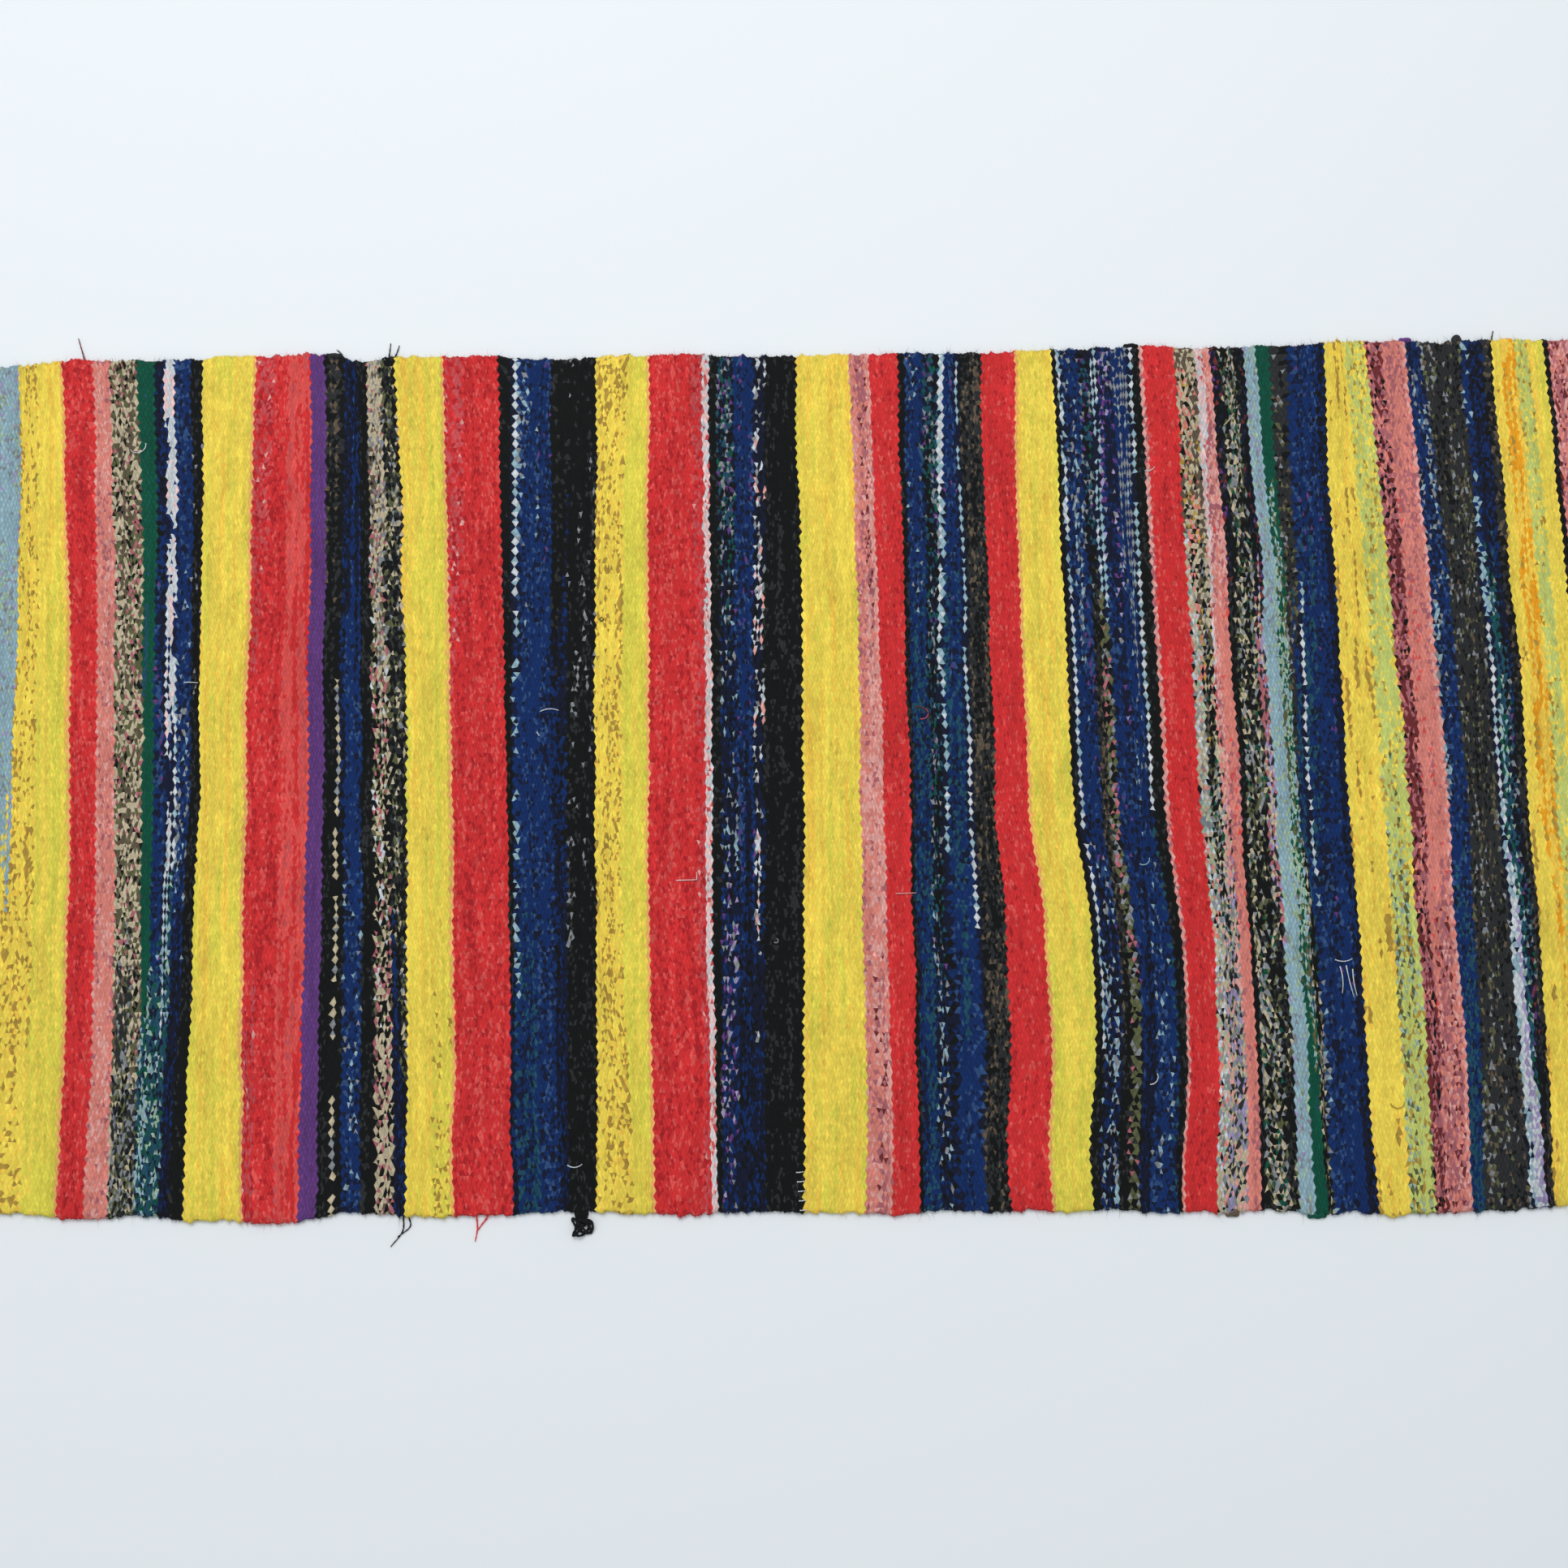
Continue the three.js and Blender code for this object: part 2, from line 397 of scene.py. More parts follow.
# Threads that lie loose on the face: place along and across, length, heading and turn in degrees, and dye
FACE_THREADS = [
    (-501, 266, 20, -70, -160, "white"),
    (-463, 71, 12, 0, -4, "white"),
    (-188, 44, 16, 30, -50, "white"),
    (-189, 29, 4, -80, 40, "white"),
    (-139, 118, 9, -60, -330, "black"),
    (-312, 139, 7, -70, 200, "black"),
    (-84, -87, 17, 0, 2, "pale_pink"),
    (-67, -87, 6, 85, 10, "pale_pink"),
    (82, -99, 17, 0, 2, "pink"),
    (100, 44, 22, 20, -140, "maroon"),
    (104, 36, 14, -30, 160, "rose"),
    (268, -78, 12, -40, 130, "light_blue"),
    (268, -243, 13, -10, 120, "white"),
    (-20, -142, 5, 20, -300, "white"),
    (-9, -134, 7, -60, 220, "grey"),
    (411, -152, 15, -30, 60, "white"),
    (415, -156, 22, -75, -25, "white"),
    (420, -155, 26, -85, 10, "white"),
    (425, -158, 22, -95, 20, "white"),
    (392, 75, 14, 120, 60, "light_blue"),
    (388, 60, 11, 80, -50, "light_blue"),
    (-164, -296, 13, -40, 80, "white"),
    (350, 268, 14, 35, 30, "cream"),
    (286, 232, 10, -20, 80, "white"),
    (446, -258, 16, -75, 150, "tan"),
]
FACE_YARN = 0.9
THREAD_LIFT = 0.25
THREAD_ARCH = 0.5

# Short fibres along the selvedges
FUZZ_PER_SELVEDGE = 2600
FUZZ_LENGTH = 3.4
FUZZ_THICKNESS = 0.14
FUZZ_SWING = 0.7
FUZZ_RISE = 0.35
FUZZ_ROOT = 0.8
FUZZ_LOWEST = 0.3

# Camera, from the photograph: it stands above the rug, tipped a little towards the far selvedge
CAMERA_DISTANCE = 1.29
CAMERA_TIP_DEG = 9.0
CAMERA_ROLL_DEG = 0.7
CAMERA_AIM = (0.0, -0.014, 0.004)
CAMERA_SEES = 1.198
SENSOR_WIDTH = 36.0

# Room
FLOOR_COLOUR = (232, 236, 239)
FLOOR_ROUGHNESS = 0.8
FLOOR_SIZE = 60.0
ROOM_TINT = (0.93, 0.97, 1.0, 1.0)
ROOM_STRENGTH = 0.6
WINDOW_PLACE = (-0.5, 1.6, 3.0)
WINDOW_SIZE = 2.2
WINDOW_POWER = 62.0

# Painted shade: how much darker each family of yarn is painted in the hollows between floats, and the painted
# light that darkens the ground under the floats and the loose yarn
HOLLOW_SHADE_DEPTHS = {"yellow": 0.16, "red": 0.24, "pink": 0.24, "black": 0.4, "blue": 0.36, "green": 0.36, "pale": 0.3}
GROUND_PAINTED_LIGHT = 0.6
YARN_PAINTED_LIGHT = 0.92

# Wool: how uneven its dye is, how fine its fibres and its mottling are, and how it shines
HEATHER = 0.28
FIBRE_FINENESS = (1900.0, 420.0, 1900.0)
MOTTLE_FINENESS = (190.0, 60.0, 190.0)
FIBRE_BUMP = 0.3
FIBRE_HEIGHT = 0.0005
WOOL_ROUGHNESS = 0.82
FIBRE_ROUGHNESS = 0.16
WOOL_GLOSS = 0.15
WOOL_SHEEN = 0.06
WOOL_SHEEN_ROUGHNESS = 0.6

RNG = np.random.default_rng(SEED)


def linear(colour):
    """A dye from 0 to 255 as the linear colour that a shader takes."""
    shares = [value / 255.0 for value in colour]
    return tuple(s / 12.92 if s <= 0.04045 else ((s + 0.055) / 1.055) ** 2.4 for s in shares)


def softened(values, picks, columns):
    """Random values averaged with their neighbours along the rug and across it."""
    for axis, reach in ((0, picks), (1, columns)):
        values = sum(np.roll(values, step, axis) for step in range(reach)) / reach
    return values


def wandering(shape, picks, columns, size):
    """Soft random waves with a given usual size."""
    waves = softened(RNG.normal(size=shape), picks, columns)
    return waves / waves.std() * size


def evened(values):
    """Spreads values evenly from 0 to 1 by their rank."""
    ranks = np.empty(values.size)
    ranks[np.argsort(values.ravel(), kind="stable")] = np.arange(values.size)
    return (ranks / values.size).reshape(values.shape)


# Reading the solid


def cloth_sections():
    """The two selvedges and the thickness along the rug, from the solid's top face, in millimetres."""
    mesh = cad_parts["rug"].data
    points = np.empty(len(mesh.vertices) * 3)
    mesh.vertices.foreach_get("co", points)
    points = points.reshape(-1, 3) / MM
    top = points[points[:, 2] > TOP_FACE_FROM]
    places = top[:, 0].round(1)
    sections = []
    for place in np.unique(places):
        rim = top[places == place]
        far = rim[:, 1].max() + SOLID_ROUNDING
        near = rim[:, 1].min() - SOLID_ROUNDING
        sections.append((place, far, near, rim[:, 2].max()))
    return np.array(sections).T


SECTION_X, SECTION_FAR, SECTION_NEAR, SECTION_THICK = cloth_sections()


def selvedges(x):
    """Where the far and the near selvedge lie across the rug."""
    far = np.interp(x, SECTION_X, SECTION_FAR)
    near = np.interp(x, SECTION_X, SECTION_NEAR)
    return far, near


def thickness(x):
    """How thick the cloth is at a place along the rug."""
    return np.interp(x, SECTION_X, SECTION_THICK)


# The chart of bands, and the picks that are laid to it


def unseen_bands(start, stop, first):
    """The wools of the chart again, from one band on, out to an end that the photograph leaves out."""
    edges = [row[2] for row in BANDS] + [BANDS_END]
    step = 1 if stop > start else -1
    place = start
    number = first
    rows = []
    while (stop - place) * step > 0:
        width = edges[number + 1] - edges[number]
        left = place if step > 0 else place - width
        rows.append((BANDS[number][0], left, left, left))
        place += step * width
        number += step
    return rows if step > 0 else rows[::-1]


def lay_picks():
    """The edges of every pick at the three chart lines, its band's wools and its turn in the band."""
    cloth_end = HALF_LENGTH - HEM_RADIUS + math.pi * HEM_RADIUS
    left = unseen_bands(BANDS[0][2], -cloth_end, UNSEEN_LEFT_FROM)
    right = unseen_bands(BANDS_END, cloth_end, UNSEEN_RIGHT_FROM)
    rows = left + BANDS + right + [("end", cloth_end, cloth_end, cloth_end)]
    edges = []
    yarns = []
    for row, after in zip(rows, rows[1:]):
        spans = [b - a for a, b in zip(row[1:], after[1:])]
        dotted = any(WOOLS[name]["dotted"] for name in row[0].split())
        if dotted and spans[1] < DOTS_BELOW:
            count = max(1, round(spans[1] / DOT_PITCH))
        else:
            count = max(1, round(sum(spans) / 3 / PICK_PITCH))
        widths = 1 + RNG.uniform(-PICK_UNEVEN, PICK_UNEVEN, count)
        if count >= TOOTHED_FROM:
            widths[[0, -1]] *= BORDER_PICK
        starts = np.concatenate([[0], np.cumsum(widths)[:-1]]) / widths.sum()
        for turn, share in enumerate(starts):
            edges.append([a + (b - a) * share for a, b in zip(row[1:], after[1:])])
            yarns.append((row[0], turn))
    edges.append([cloth_end] * 3)
    return np.array(edges).T, yarns


PICK_EDGES, PICK_YARNS = lay_picks()
PICKS = len(PICK_YARNS)
WARPS = round((NOMINAL_WIDTH - 2 * SELVEDGE_ROUNDING) / WARP_PITCH)
COLUMNS = WARPS + 2 * SELVEDGE_COLUMNS
ALONG_WANDER = wandering((PICKS + 1, COLUMNS), 40, 15, BAND_WANDER)
ACROSS_WANDER = wandering((PICKS + 1, COLUMNS), 50, 7, WARP_WANDER)
FAR_RAG, NEAR_RAG = wandering((PICKS + 1, 2), 3, 1, SELVEDGE_RAG).T


def along_rug(pick, y):
    """Where a pick lies along the rug at a place across it: a curve through the chart, and the sway."""
    numbers = np.arange(PICKS + 1)
    far, mid, near = (np.interp(pick, numbers, edges) for edges in PICK_EDGES)
    share = y / CHART_FAR
    bow = (far + near) / 2 - mid
    x = mid + (far - near) / 2 * share + bow * share**2
    away_along = (x - SWAY_PLACE[0]) / SWAY_REACH
    away_across = (y - SWAY_PLACE[1]) / SWAY_REACH
    return x + SWAY * np.exp(-(away_along**4) - away_across**4)


def on_cloth(pick, column, lift):
    """Points on the face by pick and warp column, lifted off it. Selvedges and ends turn under."""
    row = np.clip(np.rint(pick).astype(int), 0, PICKS)
    place = np.clip(np.rint(column).astype(int) + SELVEDGE_COLUMNS, 0, COLUMNS - 1)
    inner = np.clip(column, 0, WARPS) / WARPS
    middle = np.clip(along_rug(pick, 0.0), -HALF_LENGTH, HALF_LENGTH)
    far, near = selvedges(middle)
    length = along_rug(pick, near + (far - near) * inner) + ALONG_WANDER[row, place]
    flat = HALF_LENGTH - HEM_RADIUS
    end_turn = np.clip((np.abs(length) - flat) / HEM_RADIUS, 0, math.pi)
    x = np.sign(length) * (np.minimum(np.abs(length), flat) + HEM_RADIUS * np.sin(end_turn))
    far, near = selvedges(x)
    far = far + FAR_RAG[row] - SELVEDGE_ROUNDING
    near = near + NEAR_RAG[row] + SELVEDGE_ROUNDING
    thick = thickness(x)
    over = np.where(column < 0, -column, np.where(column > WARPS, column - WARPS, 0.0))
    edge_turn = np.clip(over / SELVEDGE_COLUMNS, 0, 1) * math.pi
    side = np.where(column < WARPS / 2, -1.0, 1.0)
    y = near + (far - near) * inner + ACROSS_WANDER[row, place] * np.sin(inner * math.pi)
    y = y + side * SELVEDGE_ROUNDING * np.sin(edge_turn)
    z = thick / 2 + thick / 2 * np.cos(edge_turn) * np.cos(end_turn)
    lift = lift - FLOAT_CREST
    x = x + np.sign(length) * np.sin(end_turn) * lift
    y = y + side * np.sin(edge_turn) * np.cos(end_turn) * lift
    z = np.maximum(z + np.cos(edge_turn) * np.cos(end_turn) * lift, FLOOR_CLEAR)
    return np.stack([x, y, z], -1) * MM


# The dye of every float


def every_dye():
    """All the dyes of all the families, in their order."""
    dyes = {}
    for family_dyes in FAMILIES.values():
        dyes.update(family_dyes)
    return dyes


DYES = {dye: number for number, dye in enumerate(every_dye())}


def band_thirds():
    """Which third of its band every float lies in: 0 far, 1 middle, 2 near, with ragged limits."""
    across = np.linspace(-NOMINAL_WIDTH / 2, NOMINAL_WIDTH / 2, COLUMNS)
    passes = wandering((PICKS, 2), 3, 1, THIRD_WANDER)
    past_far = across < THIRD_AT + passes[:, :1]
    past_middle = across < -THIRD_AT + passes[:, 1:]
    return past_far.astype(int) + past_middle.astype(int)


def float_dyes():
    """The number of the dye that shows at every pick and column."""
    clumps = wandering((PICKS, COLUMNS), *CLUMP)
    chance = {}
    for run, reach in RUNS.items():
        chance[run] = evened(wandering((PICKS, COLUMNS), *reach, 1.0) + clumps)
    thirds = band_thirds()
    dyes = np.empty((PICKS, COLUMNS), int)
    for pick, (names, turn) in enumerate(PICK_YARNS):
        names = names.split()
        for third in range(3):
            yarn = WOOLS[names[third % len(names)]]
            numbers = np.array([DYES[dye] for dye in yarn["dyes"]])
            chosen = numbers[np.searchsorted(yarn["shares"], chance[yarn["run"]][pick], side="right")]
            if yarn["dotted"] and turn % 2 == 0:
                chosen = np.full(COLUMNS, numbers[0])
            dyes[pick] = np.where(thirds[pick] == third, chosen, dyes[pick])
    return dyes


FLOAT_DYES = float_dyes()


def float_shades():
    """How light or dark each float is: softly blotched, with each pick and each float a little its own."""
    blotches = wandering((PICKS, COLUMNS), 8, 11, BLOTCH_SHADE)
    picks = wandering((PICKS, COLUMNS), 1, 45, PICK_SHADE)
    floats = RNG.normal(size=(PICKS, COLUMNS)) * FLOAT_SHADE
    return 1 + blotches + picks + floats


# Mesh helpers


def mesh_piece(name, points, faces, material):
    """A smooth object from arrays of points and of triangles or quads."""
    mesh = bpy.data.meshes.new(name)
    mesh.vertices.add(len(points))
    mesh.vertices.foreach_set("co", np.asarray(points, dtype=np.float32).ravel())
    mesh.loops.add(faces.size)
    mesh.loops.foreach_set("vertex_index", faces.ravel())
    mesh.polygons.add(len(faces))
    mesh.polygons.foreach_set("loop_start", np.arange(0, faces.size, faces.shape[1]))
    mesh.polygons.foreach_set("use_smooth", np.ones(len(faces), bool))
    mesh.update(calc_edges=True)
    mesh.materials.append(material)
    piece = bpy.data.objects.new(name, mesh)
    bpy.context.scene.collection.objects.link(piece)
    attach(piece, "root")
    return piece


def set_values(piece, name, domain, values):
    """Gives a piece a number for each of its faces, corners or points."""
    attribute = piece.data.attributes.new(name, "FLOAT", domain)
    attribute.data.foreach_set("value", np.asarray(values, dtype=np.float32))


def dye_place(numbers):
    """Where dyes stand on the ramp that holds every dye."""
    return (np.asarray(numbers) + 0.5) / len(DYES)


# Wool


def socket(group, name, way, kind, value=None):
    made = group.interface.new_socket(name, in_out=way, socket_type=kind)
    if value is not None:
        made.default_value = value


def math_node(tree, operation, first, second):
    node = tree.nodes.new("ShaderNodeMath")
    node.operation = operation
    for place, value in enumerate((first, second)):
        if isinstance(value, (int, float)):
            node.inputs[place].default_value = value
        else:
            tree.links.new(value, node.inputs[place])
    return node.outputs[0]


def noise_node(tree, place, stretch, detail):
    """Noise with its own fineness along X, Y and Z."""
    scaled = tree.nodes.new("ShaderNodeVectorMath")
    scaled.operation = "MULTIPLY"
    scaled.inputs[1].default_value = stretch
    tree.links.new(place, scaled.inputs[0])
    node = tree.nodes.new("ShaderNodeTexNoise")
    node.inputs["Scale"].default_value = 1.0
    node.inputs["Detail"].default_value = detail
    tree.links.new(scaled.outputs["Vector"], node.inputs["Vector"])
    return node.outputs["Fac"]


def wool_group():
    """Handspun wool: dye with heathering along the yarn, and painted shade where less light reaches."""
    group = bpy.data.node_groups.new("handspun_wool", "ShaderNodeTree")
    socket(group, "Dye", "INPUT", "NodeSocketColor", (0.5, 0.5, 0.5, 1.0))
    socket(group, "Shade", "INPUT", "NodeSocketFloat", 1.0)
    socket(group, "Light", "INPUT", "NodeSocketFloat", 1.0)
    socket(group, "Heather", "INPUT", "NodeSocketFloat", 0.3)
    socket(group, "Colour", "OUTPUT", "NodeSocketColor")
    socket(group, "Roughness", "OUTPUT", "NodeSocketFloat")
    socket(group, "Height", "OUTPUT", "NodeSocketFloat")
    nodes = group.nodes
    links = group.links
    taken = nodes.new("NodeGroupInput").outputs
    given = nodes.new("NodeGroupOutput").inputs
    place = nodes.new("ShaderNodeTexCoord").outputs["Object"]
    fibre = noise_node(group, place, FIBRE_FINENESS, 2.0)
    mottle = noise_node(group, place, MOTTLE_FINENESS, 2.0)
    spread = math_node(group, "ADD", fibre, mottle)
    spread = math_node(group, "SUBTRACT", spread, 1.0)
    heather = math_node(group, "MULTIPLY_ADD", spread, taken["Heather"])
    heather.node.inputs[2].default_value = 1.0
    # Painted light: the dye is darkened by the painted shade that comes with each face, corner or point
    lit = math_node(group, "MULTIPLY", taken["Light"], heather)
    lit = math_node(group, "MULTIPLY", lit, taken["Shade"])
    tint = nodes.new("ShaderNodeVectorMath")
    tint.operation = "SCALE"
    links.new(taken["Dye"], tint.inputs[0])
    links.new(lit, tint.inputs["Scale"])
    links.new(tint.outputs["Vector"], given["Colour"])
    rough = math_node(group, "MULTIPLY", fibre, FIBRE_ROUGHNESS)
    links.new(math_node(group, "ADD", rough, WOOL_ROUGHNESS), given["Roughness"])
    links.new(fibre, given["Height"])
    return group


def attribute_node(tree, name):
    node = tree.nodes.new("ShaderNodeAttribute")
    node.attribute_name = name
    return node.outputs["Fac"]


def dyed_wool():
    """Yarns of every dye: the dye's place on the ramp comes with each face."""
    dyes = every_dye()
    material = bpy.data.materials.new("dyed_wool")
    material.use_nodes = True
    tree = material.node_tree
    shader = tree.nodes["Principled BSDF"]
    shader.inputs["Specular IOR Level"].default_value = WOOL_GLOSS
    shader.inputs["Sheen Weight"].default_value = WOOL_SHEEN
    shader.inputs["Sheen Roughness"].default_value = WOOL_SHEEN_ROUGHNESS
    dye = tree.nodes.new("ShaderNodeValToRGB")
    ramp = dye.color_ramp
    ramp.interpolation = "CONSTANT"
    for place, colour in enumerate(dyes.values()):
        stop = ramp.elements[place] if place < 2 else ramp.elements.new(place / len(dyes))
        stop.position = place / len(dyes)
        stop.color = (*linear(colour), 1.0)
    tree.links.new(attribute_node(tree, "dye"), dye.inputs["Fac"])
    yarn = tree.nodes.new("ShaderNodeGroup")
    yarn.node_tree = wool_group()
    yarn.inputs["Heather"].default_value = HEATHER
    tree.links.new(dye.outputs["Color"], yarn.inputs["Dye"])
    tree.links.new(attribute_node(tree, "shade"), yarn.inputs["Shade"])
    # Painted light: the hollows, the ground and the loose yarn carry their painted shade in the light
    # attribute
    tree.links.new(attribute_node(tree, "light"), yarn.inputs["Light"])
    bump = tree.nodes.new("ShaderNodeBump")
    bump.inputs["Strength"].default_value = FIBRE_BUMP
    bump.inputs["Distance"].default_value = FIBRE_HEIGHT
    tree.links.new(yarn.outputs["Height"], bump.inputs["Height"])
    tree.links.new(yarn.outputs["Colour"], shader.inputs["Base Color"])
    tree.links.new(yarn.outputs["Roughness"], shader.inputs["Roughness"])
    tree.links.new(bump.outputs["Normal"], shader.inputs["Normal"])
    return material


# Weft floats


def face_points():
    """A point for every pick and column: the crest of a float, or the hollow between four floats."""
    pick, column = np.meshgrid(np.arange(PICKS), np.arange(COLUMNS), indexing="ij")
    crest = (pick + column) % 2 == 0
    shift = np.where(crest, CREST_SHIFT, HOLLOW_SHIFT)
    u = pick + 0.5 + RNG.normal(size=pick.shape) * shift
    v = column - SELVEDGE_COLUMNS + 0.5 + RNG.normal(size=pick.shape) * shift
    lift = np.where(crest, FLOAT_CREST, FLOAT_HOLLOW) + RNG.normal(size=pick.shape) * FLOAT_SWELL
    return on_cloth(u.ravel(), v.ravel(), lift.ravel())


def float_corners(pick, column):
    """The four triangles of each float, two on its near half and two on its far half, by number of point."""
    top = pick * COLUMNS + column
    left = top - COLUMNS
    right = top + COLUMNS
    near = top - 1
    far = top + 1
    return np.stack([left, near, top, near, right, top, right, far, top, far, left, top], -1)


def weft_face(number, pick, column, points, shades, material):
    """One stretch of the face: a dome for each float of weft over a warp, joined to its neighbours."""
    used, faces = np.unique(float_corners(pick, column), return_inverse=True)
    piece = mesh_piece(f"weft_face_{number}", points[used], faces.reshape(-1, 3), material)
    dyes = np.stack([FLOAT_DYES[pick, column], FLOAT_DYES[pick, column + 1]], -1).repeat(2)
    shade = shades[pick, column].repeat(4) + RNG.normal(size=4 * len(pick)) * FACET_SHADE
    # Painted shade: each float's colour is darker at its hollow corners than at its crest, standing in for
    # the shade in the hollows
    hollow_shade_depths = np.array([HOLLOW_SHADE_DEPTHS[family] for family, family_dyes in FAMILIES.items() for dye in family_dyes])
    hollow = 1 - hollow_shade_depths[dyes]
    light = np.stack([hollow, hollow, np.ones(len(dyes))], -1)
    set_values(piece, "dye", "FACE", dye_place(dyes))
    set_values(piece, "shade", "FACE", shade)
    set_values(piece, "light", "CORNER", light.ravel())
    lay_out_halves(piece, 2 * len(pick))
    return piece


def weft_faces(material):
    """The whole face of the cloth, in stretches along the rug."""
    points = face_points()
    shades = float_shades()
    pick, column = np.meshgrid(np.arange(1, PICKS - 1), np.arange(1, COLUMNS - 1), indexing="ij")
    crest = (pick + column) % 2 == 0
    pick = pick[crest]
    column = column[crest]
    pieces = []
    for stretch in range(STRETCHES):
        mine = pick * STRETCHES // PICKS == stretch
        pieces.append(weft_face(stretch + 1, pick[mine], column[mine], points, shades, material))
    return pieces


def lay_out_halves(piece, count):
    """A map for baking, with a small square of its own for each half of a float."""
    side = math.ceil(math.sqrt(count))
    cell = np.stack(np.divmod(np.arange(count), side), -1)[:, None, ::-1]
    square = np.array(((0.12, 0.12), (0.88, 0.12), (0.88, 0.88), (0.12, 0.88)))
    corners = ((cell + square[[0, 1, 3, 1, 2, 3]]) / side).reshape(-1, 2)
    layer = piece.data.uv_layers.new(name="OFBake")
    layer.data.foreach_set("uv", corners.astype(np.float32).ravel())


# Ground


def main_dye(x):
    """The number of the first dye of the band's first wool, at a place along the middle of the rug."""
    picks = np.clip(np.searchsorted(PICK_EDGES[1], x) - 1, 0, PICKS - 1)
    wools = [WOOLS[PICK_YARNS[pick][0].split()[0]] for pick in picks]
    return np.array([DYES[yarn["dyes"][0]] for yarn in wools])


def ground_sheet(material):
    """The body of the cloth under the floats, closed all round, whose underside is the back of the rug."""
    ends = HALF_LENGTH - GROUND_INSET
    stations = np.linspace(-ends, ends, round(2 * ends / GROUND_STEP) + 1)
    far, near = selvedges(stations)
    top = thickness(stations) - GROUND_DROP
    shares = np.linspace(0, 1, GROUND_ROWS + 1)
    y = near[:, None] + GROUND_INSET + (far - near - 2 * GROUND_INSET)[:, None] * shares
    x = np.broadcast_to(stations[:, None], y.shape)
    rim = np.minimum(shares, 1 - shares) < 0.5 / GROUND_ROWS
    height = np.where(rim, 0.75, 1.0) * top[:, None]
    foot = np.where(rim, 0.25, 0.0) * top[:, None]
    face = np.stack([x, y, height], -1)
    back = np.stack([x, y, foot], -1)[:, ::-1]
    rings = np.concatenate([face, back], 1)
    count, around = rings.shape[:2]
    number = np.arange(count * around).reshape(count, around)
    ahead = np.roll(number, -1, 1)
    walls = np.stack([number[:-1], number[1:], ahead[1:], ahead[:-1]], -1).reshape(-1, 4)
    caps = []
    for ring, way in ((number[0], 1), (number[-1], -1)):
        lower = ring[::-1]
        for step in range(GROUND_ROWS):
            caps.append((ring[step], ring[step + 1], lower[step + 1], lower[step])[::way])
    faces = np.concatenate([walls, np.array(caps)])
    piece = mesh_piece("rug_ground", rings.reshape(-1, 3) * MM, faces, material)
    dyes = np.repeat(main_dye((stations[:-1] + stations[1:]) / 2), around)
    cap_dyes = np.repeat(main_dye(stations[[0, -1]]), GROUND_ROWS)
    set_values(piece, "dye", "FACE", dye_place(np.concatenate([dyes, cap_dyes])))
    set_values(piece, "shade", "FACE", np.ones(len(faces)))
    # Painted shade: the whole ground is painted darker, as if in shadow under the floats
    set_values(piece, "light", "POINT", np.full(count * around, GROUND_PAINTED_LIGHT))
    return piece


# Loose yarn


def smooth_route(points, steps):
    """A smooth curve through a few points."""
    points = np.array(points, float)
    padded = np.vstack([2 * points[0] - points[1], points, 2 * points[-1] - points[-2]])
    route = []
    for a, b, c, d in zip(padded, padded[1:], padded[2:], padded[3:]):
        for t in np.arange(steps) / steps:
            bend = 2 * a - 5 * b + 4 * c - d + t * (3 * (b - c) + d - a)
            route.append(b + 0.5 * t * (c - a + t * bend))
    return np.array(route + [points[-1]])


def yarn_tube(route, width, taper=0.5, sides=6):
    """A two-ply yarn along a route: points and triangles, thinner at its free end."""
    ahead = np.gradient(route, axis=0)
    ahead = ahead / np.linalg.norm(ahead, axis=1)[:, None]
    across = np.cross(ahead, (0, 0, 1.0))
    across = across / np.maximum(np.linalg.norm(across, axis=1), 1e-6)[:, None]
    upward = np.cross(across, ahead)
    walked = np.concatenate([[0], np.cumsum(np.linalg.norm(np.diff(route, axis=0), axis=1))])
    angles = np.arange(sides) * 2 * math.pi / sides
    ply = 1 + 0.22 * np.cos(2 * (angles - walked[:, None] / width * 1.1))
    radius = width / 2 * np.linspace(1, taper, len(route))[:, None] * ply
    ring = across[:, None] * np.cos(angles)[:, None] + upward[:, None] * np.sin(angles)[:, None]
    points = (route[:, None] + ring * radius[..., None]).reshape(-1, 3)
    number = np.arange(len(points)).reshape(len(route), sides)
    ahead_number = np.roll(number, -1, 1)
    first = np.stack([number[:-1], ahead_number[:-1], ahead_number[1:]], -1).reshape(-1, 3)
    second = np.stack([number[:-1], ahead_number[1:], number[1:]], -1).reshape(-1, 3)
    fan = np.array([(0, step, step + 1) for step in range(1, sides - 1)])
    caps = np.concatenate([number[0][fan[:, ::-1]], number[-1][fan]])
    return points, np.concatenate([first, second, caps])


def loose_end_routes():
    """The routes of the yarn ends past the selvedges, lying on the floor as their solids do."""
    for x, selvedge, reach, lean, curl, dye in LOOSE_ENDS:
        far, near = selvedges(x)
        edge = far if selvedge > 0 else -near
        middle = (edge + reach) / 2
        plan = [(x, edge - 6), (x, edge), (x + lean / 2 + curl, middle), (x + lean, reach)]
        points = [(a, selvedge * b, z) for (a, b), z in zip(plan, LOOSE_HEIGHTS)]
        yield smooth_route(points, 6), LOOSE_YARN, LOOSE_TAPER, dye


def loop_routes():
    """The routes of the weft loops: out of the selvedge, round and back in, bunched inside each other."""
    for x, selvedge, half, reach, dye in LOOPS:
        far, near = selvedges(x)
        edge = far if selvedge > 0 else -near
        for level, shrink in LOOP_BUNCH:
            out = (reach - edge) * shrink - LOOP_YARN / 2
            wide = half * shrink
            plan = [(-wide, -5), (-wide, 0.35 * out), (-0.6 * wide, 0.85 * out), (0, out)]
            plan += [(-a, b) for a, b in plan[-2::-1]]
            route = smooth_route([(x + a, selvedge * (edge + b), level) for a, b in plan], 5)
            yield route, LOOP_YARN, 1.0, dye


